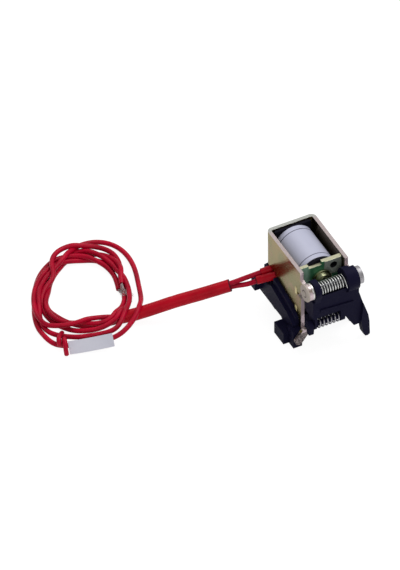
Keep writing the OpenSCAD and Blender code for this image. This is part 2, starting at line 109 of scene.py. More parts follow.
class Paint:  # one material and its nodes
    def __init__(self, name):
        self.material = bpy.data.materials.new(name)
        self.material.use_nodes = True
        self.tree = self.material.node_tree
        self.shader = self.tree.nodes["Principled BSDF"]
        self.coords = self.node("ShaderNodeTexCoord", out="Object")

    def node(self, kind, settings=None, sockets=None, out=0):
        made = self.tree.nodes.new(kind)
        for key, value in (settings or {}).items():
            setattr(made, key, value)
        for key, value in (sockets or {}).items():
            self.put(made.inputs[key], value)
        return Value(self, made.outputs[out])

    def put(self, socket, value):
        if isinstance(value, Value):
            self.tree.links.new(value.socket, socket)
        elif socket.type == "RGBA" and len(value) == 3:
            socket.default_value = (*value, 1)
        else:
            socket.default_value = value

    def finish(self, values):
        for name, value in values.items():
            self.put(self.shader.inputs[name], value)
        return self.material

    def part(self, axis):
        return self.node("ShaderNodeSeparateXYZ", sockets={0: self.coords}, out=axis)

    def facing(self, axis):
        normal = self.node("ShaderNodeTexCoord", out="Normal")
        return self.node("ShaderNodeSeparateXYZ", sockets={0: normal}, out=axis)

    def noise(self, scale, detail=2.0, rough=0.5, stretch=None):
        at = self.coords
        if stretch:
            at = self.node("ShaderNodeMapping", sockets={"Vector": at, "Scale": stretch})
        return self.node("ShaderNodeTexNoise", sockets={"Vector": at, "Scale": scale, "Detail": detail,
                                                        "Roughness": rough})

    def mix(self, factor, first, second):
        return self.node("ShaderNodeMix", {"data_type": "RGBA"}, {0: factor, 6: first, 7: second}, out=2)

    def spread(self, value, low, high):  # 0 below low, 1 above high
        return self.node("ShaderNodeMapRange", {"interpolation_type": "SMOOTHSTEP"},
                         {0: value, 1: low, 2: high})

    def bump(self, height, strength, distance=0.0001):
        return self.node("ShaderNodeBump", sockets={"Height": height, "Strength": strength,
                                                    "Distance": distance})


# floor, sky and lamps; a lamp has a place, a size and a power
studio = {"floorSize": 3.0, "floorTone": (0.80, 0.80, 0.81), "floorSeen": (0.20, 0.20, 0.20),
          "glowSeen": 0.92, "glowMirrored": 0.34, "sky": 0.34, "lampsFace": (-0.02, 0.02, 0.0),
          "lamps": [((0.35, 0.1, 0.8), 0.5, 3.6), ((-0.25, -0.65, 0.5), 0.5, 1.2), ((0.0, 0.6, 0.6), 0.5, 1.0)]}


def setStudio():
    deselect()
    bpy.ops.mesh.primitive_plane_add(size=studio["floorSize"], location=(0, 0, 0))
    floor = bpy.context.object
    floor.name = "studioFloor"
    tone = Paint("studioFloor")
    direct, mirrored, through = [tone.node("ShaderNodeLightPath", out=name) for name in
                                 ("Is Camera Ray", "Is Glossy Ray", "Is Transmission Ray")]
    glow = direct * studio["glowSeen"] + (mirrored + through) * studio["glowMirrored"]
    sheet = tone.mix(direct, studio["floorTone"], studio["floorSeen"])  # faint shadows, full light on the part
    tone.finish({"Base Color": sheet, "Roughness": 1.0, "Specular IOR Level": 0.0,
                 "Emission Color": glow, "Emission Strength": 1.0})
    floor.data.materials.append(tone.material)
    world = bpy.data.worlds.new("studioSky")
    bpy.context.scene.world = world
    world.use_nodes = True
    sky = world.node_tree
    sky.nodes["Background"].inputs[0].default_value = (1, 1, 1, 1)
    level = sky.nodes.new("ShaderNodeMapRange")  # white to the camera, softer on the object
    level.inputs["To Min"].default_value = studio["sky"]
    sky.links.new(sky.nodes.new("ShaderNodeLightPath").outputs["Is Camera Ray"], level.inputs["Value"])
    sky.links.new(level.outputs[0], sky.nodes["Background"].inputs[1])
    for at, size, power in studio["lamps"]:
        bpy.ops.object.light_add(type="AREA", location=at)
        lamp = bpy.context.object
        lamp.data.size = size
        lamp.data.energy = power
        away = Vector(at) - Vector(studio["lampsFace"])
        lamp.rotation_euler = away.to_track_quat("Z", "Y").to_euler()


setCamera()
setStudio()
bpy.context.scene.view_settings.view_transform = "Standard"
print("camera and studio ready")

# the two leads, in millimetres: from the terminals through the sleeve, then three turns each on the table
lead = {"radius": 1.0, "gap": 1.2, "sag": 0.7, "outA": (-10.4, 11.1, 17.9), "outB": (-10.4, 7.4, 17.4),
        "toSleeve": (0, 5, 10.5), "sideGap": 0.05, "firstDegree": 22, "stepDegree": 4,
        "held": 7, "bend": 27, "bendRounds": 40}  # points held in the sleeve, points of the bend out of it
routeA = [(-2, 12.2, 16.9), (-5.5, 11.5, 17), (-8.4, 11.1, 17.4)]
routeB = [(4, 12.2, 15.4), (1, 11, 15.6), (-4, 8.6, 16.4), (-8, 7.5, 17.1)]
sleeveRoute = [(-26, 13.7, 14), (-36, 17.3, 11), (-46, 20.9, 8.2), (-55, 24.1, 5.2), (-61, 26.2, 3.4),
               (-66, 27.8, 2.6)]
# the ring is an oval; its turns keep places in a twisted bundle and fan out in front, between these degrees
ring = {"at": (-72.6, 46.5), "across": 16.7, "along": 22.7, "turned": 62.5, "start": -38.0,
        "bundle": 2.1, "twist": 180, "fan": (4.5, -2.1, -6.3, -4.2, 2.0, 5.4), "fanLift": 0.6,
        "moveOn": (130, 290), "fanOpens": (5, 55), "fanCloses": (72, 130), "outerLater": 16}
# where a turn strays: millimetres, at which degree of its winding, over how many degrees
strayA = {"slot": 0, "end": 1031,
          "out": [(-8, 17, 22), (-9.6, 51, 25), (1.5, 345, 30), (-5, 526, 20), (1.2, 572, 18), (5.5, 620, 28),
                  (2.5, 708, 30), (3, 817, 30), (-4, 1046, 40)],
          "up": [(6, 40, 40), (5, 352, 30), (6, 538, 36), (2, 617, 30), (5, 712, 35), (4, 1046, 40)]}
strayB = {"slot": 3, "end": 1030,
          "out": [(1.5, 350, 30), (3.0, 377, 16), (3, 455, 22), (8, 610, 34), (2, 652, 26), (1.8, 688, 26),
                  (4.7, 716, 26), (2.6, 740, 18), (-2.6, 768, 14), (2, 796, 14), (-1.2, 1044, 25)],
          "up": [(4, 352, 30), (3, 617, 40), (6.5, 708, 30), (5, 1034, 40)]}
# where a turn stands up over what it crosses: lead A over its own ring, lead B's outer loop over the sleeve
arches = [{"lead": 0, "at": (-80.5, 33.0), "reach": 15.0, "height": 3.4, "share": (0.0, 0.14)},
          {"lead": 1, "at": (-61.0, 26.4), "reach": 10.5, "height": 6.4, "share": (0.58, 0.77)}]


def ease(low, high, x):
    t = min(max((x - low) / (high - low), 0.0), 1.0)
    return t * t * (3 - 2 * t)


def hump(degree, rows):
    return sum(size * math.exp(-((degree - at) / width) ** 2) for size, at, width in rows)


def ringPoint(degree, stray):
    inTurn = degree % 360
    done = degree // 360 + ease(*ring["moveOn"], inTurn)  # each turn moves one place on, and the bundle twists
    slot = stray["slot"] + done
    slotTurn = 360 / len(ring["fan"])
    roll = math.radians(slotTurn * slot + slotTurn / 2 + ring["twist"] * done)
    fanAt = float(np.interp(slot, range(len(ring["fan"])), ring["fan"]))
    later = ring["outerLater"] if fanAt > 0 else 0  # the outer turns close up later
    closes = [at + later for at in ring["fanCloses"]]
    fanned = ease(*ring["fanOpens"], inTurn) * (1 - ease(*closes, inTurn))
    out = (1 - fanned) * ring["bundle"] * math.cos(roll) + fanned * fanAt + hump(degree, stray["out"])
    z = lead["radius"] + (1 - fanned) * ring["bundle"] * (1 + math.sin(roll)) + fanned * ring["fanLift"]
    z += hump(degree, stray["up"])
    angle, turned = math.radians(ring["start"] - inTurn), math.radians(ring["turned"])
    cosine, sine = math.cos(angle), math.sin(angle)
    acrossWay = np.array((math.sin(turned), -math.cos(turned)))
    alongWay = np.array((math.cos(turned), math.sin(turned)))
    at = np.array(ring["at"]) + ring["across"] * cosine * acrossWay + ring["along"] * sine * alongWay
    outWay = cosine / ring["across"] * acrossWay + sine / ring["along"] * alongWay
    at = at + out * outWay / np.linalg.norm(outWay)
    return (at[0], at[1], z)


def evenly(points, gap):
    points = np.array(points, float)
    along = np.concatenate([[0], np.cumsum(np.linalg.norm(np.diff(points, axis=0), axis=1))])
    at = np.linspace(0, along[-1], int(round(along[-1] / gap)) + 1)
    return np.stack([np.interp(at, along, points[:, k]) for k in range(3)], 1)


def rounded(points, gap):  # a smooth line through given points
    points, steps = [Vector(p) for p in points], 12
    ends = [2 * points[0] - points[1]] + points + [2 * points[-1] - points[-2]]
    line = []
    for a, b, c, d in zip(ends, ends[1:], ends[2:], ends[3:]):
        for k in range(steps):
            t = k / steps
            line.append(0.5 * (2 * b + (c - a) * t + (2 * a - 5 * b + 4 * c - d) * t * t
                               + (3 * b - a - 3 * c + d) * t ** 3))
    return evenly([tuple(p) for p in line + [points[-1]]], gap)


def besideSleeve(side):  # the lead's line inside the sleeve
    way = (Vector(sleeveRoute[1]) - Vector(sleeveRoute[0])).normalized()
    off = way.cross(Vector((0, 1, 0))).normalized() * (lead["radius"] + lead["sideGap"]) * side
    return [tuple(Vector(p) + off) for p in sleeveRoute]


def straight(start, end, at):  # points on the way from start to end
    start, way = Vector(start), (Vector(end) - Vector(start)).normalized()
    return [tuple(start + way * k) for k in at]


def layLeads():
    starts, loose = [], []
    first, last = lead["held"], lead["held"] + lead["bend"]
    for route, out, side, stray in ((routeA, "outA", -1, strayA), (routeB, "outB", 1, strayB)):
        inSleeve = besideSleeve(side)
        between = straight(lead[out], inSleeve[0], lead["toSleeve"])
        hang = Vector((0, 0, lead["sag"] * max(side, 0)))  # lead B hangs a little
        between[-1] = tuple(Vector(between[-1]) - hang)
        start = rounded(route + between + inSleeve, lead["gap"])
        turns = [ringPoint(k, stray) for k in range(lead["firstDegree"], stray["end"] + 1, lead["stepDegree"])]
        whole = evenly([tuple(p) for p in start[-first:]] + turns, lead["gap"])
        for again in range(lead["bendRounds"]):  # the bend out of the sleeve is rounded
            whole[first:last] = (whole[first - 1:last - 1] + whole[first + 1:last + 1]) / 2
        starts.append(start[:-first])
        loose.append(whole)
    laid = settle(loose, rounded(sleeveRoute[2:], lead["gap"]))
    return [np.concatenate([start, line]) for start, line in zip(starts, laid)]


# how the turns come to rest; where there are two numbers, the second is for the late passes
settling = {"passes": 300, "lateFrom": 0.75, "lookEvery": 8, "near": 5.0, "ownSkip": 5, "sleeveThick": 2.45,
            "freeOfSleeve": 3, "sink": 0.03, "homeward": (0.1, 0.04), "push": 0.55, "pushes": 2, "rounds": 3,
            "stiff": {6: (0.12, 0.12), 3: (0.2, 0.2), 1: (0.2, 0.45)}}


def settle(lines, sleeve):
    # the turns push each other apart, keep their stiffness and sink to the table
    counts = [len(line) for line in lines] + [len(sleeve)]
    who = np.concatenate([np.full(n, k) for k, n in enumerate(counts)])
    order = np.concatenate([np.arange(n) for n in counts])
    at = np.concatenate(list(lines) + [sleeve])
    home = at.copy()
    onSleeve = who == len(lines)
    thick = np.where(onSleeve, settling["sleeveThick"], lead["radius"])
    fixed = onSleeve | (order < lead["held"])
    young = ~onSleeve & (order < lead["held"] + settling["freeOfSleeve"])
    bed = np.full(len(at), lead["radius"])
    for arch in arches:
        along = order / counts[arch["lead"]]
        part = (who == arch["lead"]) & (along > arch["share"][0]) & (along < arch["share"][1])
        away = np.linalg.norm(home[:, :2] - np.array(arch["at"]), axis=1)
        bed[part] += (arch["height"] * np.exp(-(away / arch["reach"]) ** 2))[part]

    def stiffen(reach, share):  # the wire keeps the curve it was wound to
        pull, off = np.zeros_like(at), at - home * (1, 1, 0)
        same = who[2 * reach:] == who[:-2 * reach]
        pull[reach:-reach][same] = ((off[:-2 * reach] + off[2 * reach:]) / 2 - off[reach:-reach])[same]
        return share * pull

    for turn in range(settling["passes"]):
        late = turn > settling["passes"] * settling["lateFrom"]
        if turn % settling["lookEvery"] == 0:  # who is near whom
            apart = np.linalg.norm(at[:, None] - at[None], axis=2)
            i, j = np.nonzero(np.triu(apart < settling["near"], 1))
            use = ~((who[i] == who[j]) & ((abs(order[i] - order[j]) < settling["ownSkip"]) | onSleeve[i]))
            use &= ~((young[i] & onSleeve[j]) | (young[j] & onSleeve[i]))
            i, j = i[use], j[use]
        at[:, 2] -= settling["sink"]
        at[:, :2] += settling["homeward"][late] * (home[:, :2] - at[:, :2])
        at += sum(stiffen(reach, shares[late]) for reach, shares in settling["stiff"].items())
        for again in range(settling["pushes"]):
            gap = at[i] - at[j]
            far = np.linalg.norm(gap, axis=1) + 1e-9
            lap = np.maximum(thick[i] + thick[j] - far, 0)
            count = np.zeros(len(at))
            np.add.at(count, i, lap > 0)
            np.add.at(count, j, lap > 0)
            push = gap * (settling["push"] * lap / far)[:, None]
            move = np.zeros_like(at)
            np.add.at(move, i, push)
            np.add.at(move, j, -push)
            at += move / np.sqrt(np.maximum(count, 1))[:, None]
            at[:, 2] = np.maximum(at[:, 2], bed)
            at[fixed] = home[fixed]
    print("leads settled, deepest touch", round(float(lap.max()), 3), "mm")
    laid, first = [at[who == k] for k in range(len(lines))], lead["held"]
    for line in laid:
        for again in range(settling["rounds"]):  # a wire has no sharp dents
            line[first:-1] = line[first:-1] / 2 + (line[first - 1:-2] + line[first + 1:]) / 4
    return laid


def cordPiece(name, points, radius):
    line = bpy.data.curves.new(name, "CURVE")
    line.dimensions = "3D"
    spline = line.splines.new("POLY")
    spline.points.add(len(points) - 1)
    for point, place in zip(spline.points, points):
        point.co = (place[0] * mm, place[1] * mm, place[2] * mm, 1)
    spline.use_smooth = True
    line.bevel_depth = radius * mm
    line.bevel_resolution = 4
    line.use_fill_caps = True
    piece = bpy.data.objects.new(name, line)
    bpy.context.scene.collection.objects.link(piece)
    return piece


def lengthOf(points):
    return float(np.linalg.norm(np.diff(points, axis=0), axis=1).sum()) * mm


lineA, lineB = layLeads()
leadA = cordPiece("leadA", lineA, lead["radius"])
leadB = cordPiece("leadB", lineB, lead["radius"])
print("leads laid", round(lengthOf(lineA), 3), round(lengthOf(lineB), 3))

# red sleeves, swept from a ring of points; a joint sleeve starts inside the carrier
bundle = {"radius": 2.5, "wall": 0.35, "ripple": 0.012, "gap": 2.2}
jointA = {"radius": 1.45, "wall": 0.3, "ripple": 0.0, "rows": (-0.8, 0.3, 1.4, 2.5, 3.6)}
jointB = {"radius": 1.65, "wall": 0.45, "ripple": 0.0, "rows": (-0.8, 0.8, 2.4, 4.0, 5.6, 7.2)}
sweep = {"sides": 28, "rimRow": 0.12, "rippleStep": 2.1, "crease": 50}


def tube(name, points, size):
    deselect()
    points = [Vector(p) * mm for p in points]
    points[1:1] = [points[0].lerp(points[1], sweep["rimRow"])]
    points[-1:-1] = [points[-1].lerp(points[-2], sweep["rimRow"])]  # close rows keep the ends crisp
    swells = [1 + size["ripple"] * math.sin(sweep["rippleStep"] * k) for k in range(len(points))]
    way = (points[-1] - points[0]).normalized()
    bpy.ops.mesh.primitive_circle_add(vertices=sweep["sides"], radius=size["radius"] * mm, fill_type="NOTHING",
                                      location=points[0], rotation=way.to_track_quat("Z", "Y").to_euler())
    piece = bpy.context.object
    piece.name = name
    bpy.ops.object.transform_apply(location=True, rotation=True, scale=True)
    bpy.ops.object.mode_set(mode="EDIT")
    bpy.ops.mesh.select_all(action="SELECT")
    for k in range(1, len(points)):
        bpy.ops.mesh.extrude_region_move(TRANSFORM_OT_translate={"value": points[k] - points[k - 1]})
        swell = swells[k] / swells[k - 1]
        bpy.ops.transform.resize(value=(swell, swell, swell), center_override=points[k])
    bpy.ops.mesh.select_all(action="SELECT")
    bpy.ops.mesh.normals_make_consistent(inside=False)
    bpy.ops.object.mode_set(mode="OBJECT")
    thick = piece.modifiers.new("wall", "SOLIDIFY")
    thick.thickness = size["wall"] * mm
    thick.offset = -1
    soft = piece.modifiers.new("soft", "SUBSURF")
    soft.levels = soft.render_levels = 1
    bpy.ops.object.modifier_apply(modifier="wall")
    bpy.ops.object.modifier_apply(modifier="soft")
    bpy.ops.object.shade_smooth_by_angle(angle=math.radians(sweep["crease"]))
    return piece


jointLineA = straight(lead["outA"], besideSleeve(-1)[0], jointA["rows"])
jointLineB = straight(lead["outB"], besideSleeve(1)[0], jointB["rows"])
bundleSleeve = tube("bundleSleeve", rounded(sleeveRoute, bundle["gap"]), bundle)
jointSleeveA = tube("jointSleeveA", jointLineA, jointA)
jointSleeveB = tube("jointSleeveB", jointLineB, jointB)
print("sleeves made")

# springs; steps is the points in a turn, and the lever spring's foot is its y and z
leverSpringWire = {"radius": 0.26, "coil": 2.54, "x": (-4.99, 5.39), "axis": (-19.3, 30.0), "turns": 9,
                   "steps": 40, "start": 180, "lastDegrees": 135, "tail": (1.2, 2.4),
                   "foot": ((-11.86, 22.08), (-15.72, 22.08), (-16.5, 22.86))}
armatureSpringWire = {"radius": 0.2, "turns": 5, "steps": 24, "fixedEnd": (0, -0.0017, 0.0235), "keep": 0.72}
pawlSpringWire = {"radius": 0.31, "coil": 1.75, "x": (-6.55, 3.05), "axis": (-19.8, 12.8), "turns": 6,
                  "steps": 40}


def leverSpringLine():
    wire, steps = leverSpringWire, leverSpringWire["turns"] * leverSpringWire["steps"]
    (x0, x1), (y, z), r = wire["x"], wire["axis"], wire["coil"]
    coil = []
    for k in range(steps + 1):
        angle = math.radians(wire["start"] + (wire["turns"] * 360 + wire["lastDegrees"]) * k / steps)
        coil.append((x0 + (x1 - x0) * k / steps, y - r * math.cos(angle), z - r * math.sin(angle)))
    end = coil[-1]
    tail = [(end[0], end[1] - k, end[2] - k) for k in wire["tail"]]
    return [(x0, *place) for place in wire["foot"]] + coil + tail


def armatureSpringLine():
    wire, steps = armatureSpringWire, armatureSpringWire["turns"] * armatureSpringWire["steps"]
    low, high = [Vector(corner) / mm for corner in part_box("armature_spring")]
    middle, r = (low + high) / 2, (high.x - low.x) / 2 - wire["radius"]
    y0, y1 = low.y + wire["radius"], high.y - wire["radius"]
    turn = 2 * math.pi * wire["turns"] / steps
    return [(middle.x + r * math.cos(turn * k), y0 + (y1 - y0) * k / steps, middle.z + r * math.sin(turn * k))
            for k in range(steps + 1)]


def pawlSpringLine():
    wire, steps = pawlSpringWire, pawlSpringWire["turns"] * pawlSpringWire["steps"]
    (x0, x1), (y, z), r = wire["x"], wire["axis"], wire["coil"]
    turn = 2 * math.pi * wire["turns"] / steps
    return [(x0 + (x1 - x0) * k / steps, y + r * math.sin(turn * k), z + r * math.cos(turn * k))
            for k in range(steps + 1)]


def toMesh(piece):
    deselect()
    piece.select_set(True)
    bpy.context.view_layer.objects.active = piece
    bpy.ops.object.convert(target="MESH")


armatureSpring = cordPiece("armatureSpring", armatureSpringLine(), armatureSpringWire["radius"])
toMesh(armatureSpring)
leverSpring = cordPiece("leverSpring", leverSpringLine(), leverSpringWire["radius"])
pawlSpring = cordPiece("pawlSpring", pawlSpringLine(), pawlSpringWire["radius"])
print("springs made")

# paper tag that leans on the turns, and the knot of lead that holds it
tag = {"at": (-92.1, 20.2, 0.3), "long": 17.4, "deep": 5.4, "cells": (18, 8), "turned": -19, "rise": 6.5,
       "lean": 28, "lift": 0.2, "curl": 0.5, "paper": 0.3, "crease": 40}
tie = {"radius": 0.95, "gap": 0.5,
       "route": [(-90, 31.1, 2.0), (-93.4, 26.9, 5.0), (-94.8, 24.5, 5.1), (-94.4, 24.4, 3.0),
                 (-92.3, 26.4, 1.5), (-92.5, 24.4, 5.4), (-93.6, 21.5, 4.9), (-93.8, 20.4, 2.6),
                 (-93.6, 20.3, 1.1)]}


def makeTag():
    deselect()
    bpy.ops.mesh.primitive_grid_add(x_subdivisions=tag["cells"][0], y_subdivisions=tag["cells"][1], size=1)
    piece = bpy.context.object
    piece.name = "markerTag"
    piece.scale = (tag["long"] * mm, tag["deep"] * mm, 1)
    bpy.ops.object.transform_apply(location=True, rotation=True, scale=True)
    for corner in piece.data.vertices:  # the paper's ends lift a little
        corner.co.z += tag["curl"] * mm * (2 * corner.co.x / (tag["long"] * mm)) ** 2
    paper = piece.modifiers.new("paper", "SOLIDIFY")
    paper.thickness = tag["paper"] * mm
    bpy.ops.object.modifier_apply(modifier="paper")
    turned = Matrix.Rotation(math.radians(tag["turned"]), 4, "Z")
    rise = Matrix.Rotation(math.radians(-tag["rise"]), 4, "Y")
    lean = Matrix.Rotation(math.radians(tag["lean"]), 4, "X")
    middle = Matrix.Translation(Vector((tag["long"] / 2, tag["deep"] / 2, tag["lift"])) * mm)
    piece.matrix_world = Matrix.Translation(Vector(tag["at"]) * mm) @ turned @ rise @ lean @ middle
    bpy.ops.object.transform_apply(location=True, rotation=True, scale=True)
    bpy.ops.object.shade_smooth_by_angle(angle=math.radians(tag["crease"]))
    return piece


markerTag = makeTag()
tagTie = cordPiece("tagTie", rounded(tie["route"], tie["gap"]), tie["radius"])
toMesh(tagTie)

# stripped ends: fine strands twisted round each other, that bend aside and up by these millimetres
strands = {"count": 9, "radius": 0.1, "lay": 0.4, "flare": 3.6, "long": 9.0, "shorter": 0.03, "inside": 0.4,
           "twist": 0.55, "steps": 12, "lowest": 0.2, "bendA": (-1.6, 0.8), "bendB": (-3.0, 2.0)}


def strippedEnd(name, line, bend):
    tip, way = Vector(line[-1]), (Vector(line[-1]) - Vector(line[-4])).normalized()
    side = way.cross(Vector((0, 0, 1))).normalized()
    up = side.cross(way)
    parts = []
    for k in range(strands["count"]):
        path = []
        for step in range(strands["steps"] + 1):
            t = step / strands["steps"]
            angle = 2 * math.pi * (k / (strands["count"] - 1) + strands["twist"] * t)
            out = 0 if k == 0 else strands["lay"] * (1 + strands["flare"] * t * t)
            along = strands["long"] * t * (1 - strands["shorter"] * k) - strands["inside"]
            place = tip + way * along + side * (out * math.cos(angle) + bend[0] * t * t) \
                + up * (out * math.sin(angle) + bend[1] * t)
            place.z = max(place.z, strands["lowest"])
            path.append(place)
        parts.append(cordPiece(name, path, strands["radius"]))
    deselect()
    for part in parts:
        part.select_set(True)
    bpy.context.view_layer.objects.active = parts[0]
    bpy.ops.object.convert(target="MESH")
    bpy.ops.object.join()
    piece = bpy.context.object
    piece.name = name
    return piece


tinnedEndA = strippedEnd("tinnedEndA", lineA, strands["bendA"])
tinnedEndB = strippedEnd("tinnedEndB", lineB, strands["bendB"])
print("tag and stripped ends made", lineA[-1].round(1), lineB[-1].round(1))

# finishes: tones, and places in metres from which one tone gives way to the next
faceOn = (0.6, 0.9)  # how squarely a face looks along an axis
yokeLook = {"olive": (0.245, 0.175, 0.050), "green": (0.18, 0.16, 0.045), "pink": (0.26, 0.155, 0.08),
            "inner": (0.16, 0.12, 0.065), "topEdge": (0.56, 0.47, 0.465), "rearEdge": (0.53, 0.54, 0.50),
            "frontEdge": (0.70, 0.56, 0.60), "pit": (0.07, 0.055, 0.06), "tab": (0.30, 0.25, 0.24),
            "innerFrom": (0.0084, 0.0088), "frontFrom": (0.0125, 0.0135), "rearFrom": (0.0105, 0.0135),
            "tabFrom": (0.0160, 0.0164), "tabBelow": (-0.0085, -0.0080)}
plateLook = {"deep": (0.042, 0.20, 0.10), "green": (0.09, 0.28, 0.14), "left": (0.40, 0.66, 0.50),
             "padDark": (0.34, 0.38, 0.34), "padLight": (0.43, 0.47, 0.41), "shade": (0.008, 0.012, 0.012),
             "topEdge": (0.54, 0.53, 0.36), "highlitStake": (0.62, 0.54, 0.28), "hole": (0.004, 0.004, 0.006),
             "leftFrom": (0.004, 0.0065), "padFrom": (0.0013, 0.0016), "padAbove": (0.0275, 0.028),
             "shadeBelow": (0.019, 0.022), "highlitStakeFrom": (0.0089, 0.009), "holeAt": (0.00525, 0.0325),
             "holeRadius": 0.00152}


def yokePlating():
    paint, look = Paint("yokePlating"), yokeLook
    bands = paint.spread(paint.noise(70, 2, 0.5), 0.4, 0.62)
    cloud = paint.spread(paint.noise(160, 3, 0.55), 0.54, 0.74)
    tone = paint.mix(cloud, paint.mix(bands, look["olive"], look["green"]), look["pink"])
    # painted shade: the inside face of the right wall is darker than its outside
    inner = paint.spread(0 - paint.facing("X"), *faceOn) * paint.spread(paint.part("X"), *look["innerFrom"])
    tone = paint.mix(inner, tone, look["inner"])
    cut = paint.spread(paint.facing("Z"), *faceOn)  # cut edges show paler metal
    forward, low = 0 - paint.part("Y"), 0 - paint.part("Z")
    front = paint.spread(0 - paint.facing("Y"), *faceOn) * paint.spread(forward, *look["frontFrom"])
    edge = 1 - (1 - cut) * (1 - front)
    rear = paint.spread(paint.part("Y"), *look["rearFrom"])
    tone = paint.mix(cut, tone, paint.mix(rear, look["topEdge"], look["rearEdge"]))
    tone = paint.mix(front, tone, look["frontEdge"])
    tab = paint.spread(forward, *look["tabFrom"]) * paint.spread(low, *look["tabBelow"])
    pits = paint.spread(paint.noise(1300, 3, 0.7), 0.42, 0.58)
    tone = paint.mix(tab, tone, paint.mix(pits, look["pit"], look["tab"]))
    rough = 0.16 + 0.14 * paint.noise(900, 2) + 0.25 * tab
    return paint.finish({"Base Color": tone, "Metallic": 0.97 - 0.6 * edge, "Roughness": rough,
                         "Normal": paint.bump(paint.noise(2600, 2, 0.6), 0.08)})


def platePlating():
    paint, look = Paint("platePlating"), plateLook
    x, z = paint.part("X"), paint.part("Z")
    cloud = paint.spread(paint.noise(160, 3, 0.55), 0.4, 0.7)
    tone = paint.mix(cloud, look["deep"], look["green"])
    tone = paint.mix(paint.spread(0 - x, *look["leftFrom"]), tone, look["left"])
    pad = paint.spread(x, *look["padFrom"]) * paint.spread(z, *look["padAbove"])
    tone = paint.mix(pad, tone, paint.mix(cloud, look["padDark"], look["padLight"]))
    tone = paint.mix(paint.spread(z, *look["shadeBelow"]), look["shade"], tone)
    cut = paint.spread(paint.facing("Z"), *faceOn)
    tone = paint.mix(cut, tone, look["topEdge"])
    # the staked tabs are painted pale gold: burnished metal and a painted highlight
    highlitStake = paint.spread(abs(x), *look["highlitStakeFrom"])
    tone = paint.mix(highlitStake, tone, look["highlitStake"])
    # painted shade: the pad's hole and a thin ring round it are painted black
    fromHole = (x - look["holeAt"][0]) ** 2.0 + (z - look["holeAt"][1]) ** 2.0
    tone = paint.mix(fromHole < look["holeRadius"] ** 2, tone, look["hole"])
    rough = 0.3 + 0.14 * paint.noise(900, 2)
    return paint.finish({"Base Color": tone, "Metallic": 0.45 + 0.4 * highlitStake, "Roughness": rough,
                         "Normal": paint.bump(paint.noise(2600, 2, 0.6), 0.12)})


def blackPlastic(name, tone, shine):
    paint = Paint(name)
    wear = paint.noise(140, 3)
    grain = paint.noise(3200, 2, 0.6)
    dust = paint.spread(paint.facing("Z"), 0.3, 1.0) * paint.spread(wear, 0.35, 0.75)
    colour = paint.mix(dust * 0.5, tone, tuple(2.2 * c for c in tone))
    return paint.finish({"Base Color": colour, "Roughness": shine + 0.15 * wear,
                         "Normal": paint.bump(grain, 0.18), "Specular IOR Level": 0.045})


windingLook = {"dark": (0.35, 0.12, 0.05), "light": (0.72, 0.33, 0.16), "tape": (0.01, 0.01, 0.014),
               "tapeFrom": (0.0078, 0.0080)}


def copperWinding():
    paint, look = Paint("copperWinding"), windingLook
    turns = paint.node("ShaderNodeTexWave", {"bands_direction": "Y"},
                       {"Vector": paint.coords, "Scale": 900.0, "Distortion": 0.4})
    colour = paint.mix(turns, look["dark"], look["light"])
    tape = paint.spread(abs(paint.part("Y")), *look["tapeFrom"])  # black tape over both ends
    colour = paint.mix(tape, colour, look["tape"])
    return paint.finish({"Base Color": colour, "Metallic": 0.8 * (1 - tape), "Roughness": 0.35,
                         "Normal": paint.bump(turns, 0.4)})


labelLook = {"dark": (0.50, 0.51, 0.65), "light": (0.58, 0.59, 0.73), "line": (0.05, 0.05, 0.10),
             "lineFront": 0.0064, "lineRear": 0.0091, "lineHalf": 0.00018}


def paperLabel():
    paint, look = Paint("paperLabel"), labelLook
    fibre = paint.noise(1400, 3, 0.6)
    y = paint.part("Y")
    line = (abs(y + look["lineFront"]) < look["lineHalf"]) + (abs(y - look["lineRear"]) < look["lineHalf"])
    sheet = paint.mix(paint.noise(90, 2), look["dark"], look["light"])
    colour = paint.mix(line, sheet, look["line"])
    return paint.finish({"Base Color": colour, "Roughness": 0.38 + 0.12 * fibre,
                         "Normal": paint.bump(fibre, 0.06), "Coat Weight": 0.2})


def tagPaper():
    paint = Paint("tagPaper")
    fibre = paint.noise(1200, 3, 0.6)
    colour = paint.mix(paint.noise(150, 2), (0.58, 0.58, 0.68), (0.70, 0.70, 0.78))
    return paint.finish({"Base Color": colour, "Roughness": 0.6 + 0.15 * fibre,
                         "Normal": paint.bump(fibre, 0.1)})


def steel(name, dark, light, shine, lines):
    paint = Paint(name)
    marks = paint.noise(700, 3, 0.6, lines)
    colour = paint.mix(marks, dark, light)
    return paint.finish({"Base Color": colour, "Metallic": 1.0, "Roughness": shine + 0.14 * marks,
                         "Normal": paint.bump(marks, 0.08)})


pinLook = {"shank": (0.09, 0.09, 0.10), "headDark": (0.33, 0.32, 0.335), "headLight": (0.47, 0.455, 0.475),
           "capDark": (0.42, 0.365, 0.315), "capLight": (0.52, 0.455, 0.395), "shadedPeen": (0.10, 0.08, 0.075),
           "headFrom": (0.0108, 0.0112), "capFrom": (0.0103, 0.0104), "axis": (-0.0193, 0.03),
           "shadedPeenRadius": 0.00145, "shadedPeenEdge": (-0.00032, -0.00012)}


def pinSteel():  # the shank is darker than the head, and the cap has a ring of painted shade round its peened end
    paint, look = Paint("pinSteel"), pinLook
    marks = paint.noise(700, 3, 0.6)
    head = paint.spread(paint.part("X"), *look["headFrom"])
    cap = paint.spread(0 - paint.part("X"), *look["capFrom"])
    colour = paint.mix(head, look["shank"], paint.mix(marks, look["headDark"], look["headLight"]))
    y, z = paint.part("Y") - look["axis"][0], paint.part("Z") - look["axis"][1]
    fromAxis = (y ** 2.0 + z ** 2.0) ** 0.5
    shadedPeen = cap * paint.spread(0 - abs(fromAxis - look["shadedPeenRadius"]), *look["shadedPeenEdge"])
    colour = paint.mix(cap, colour, paint.mix(marks, look["capDark"], look["capLight"]))
    colour = paint.mix(shadedPeen, colour, look["shadedPeen"])
    rough = 0.3 + 0.14 * marks + 0.26 * cap + 0.14 * head
    return paint.finish({"Base Color": colour, "Metallic": 1.0 - 0.85 * cap, "Roughness": rough,
                         "Normal": paint.bump(marks, 0.08)})


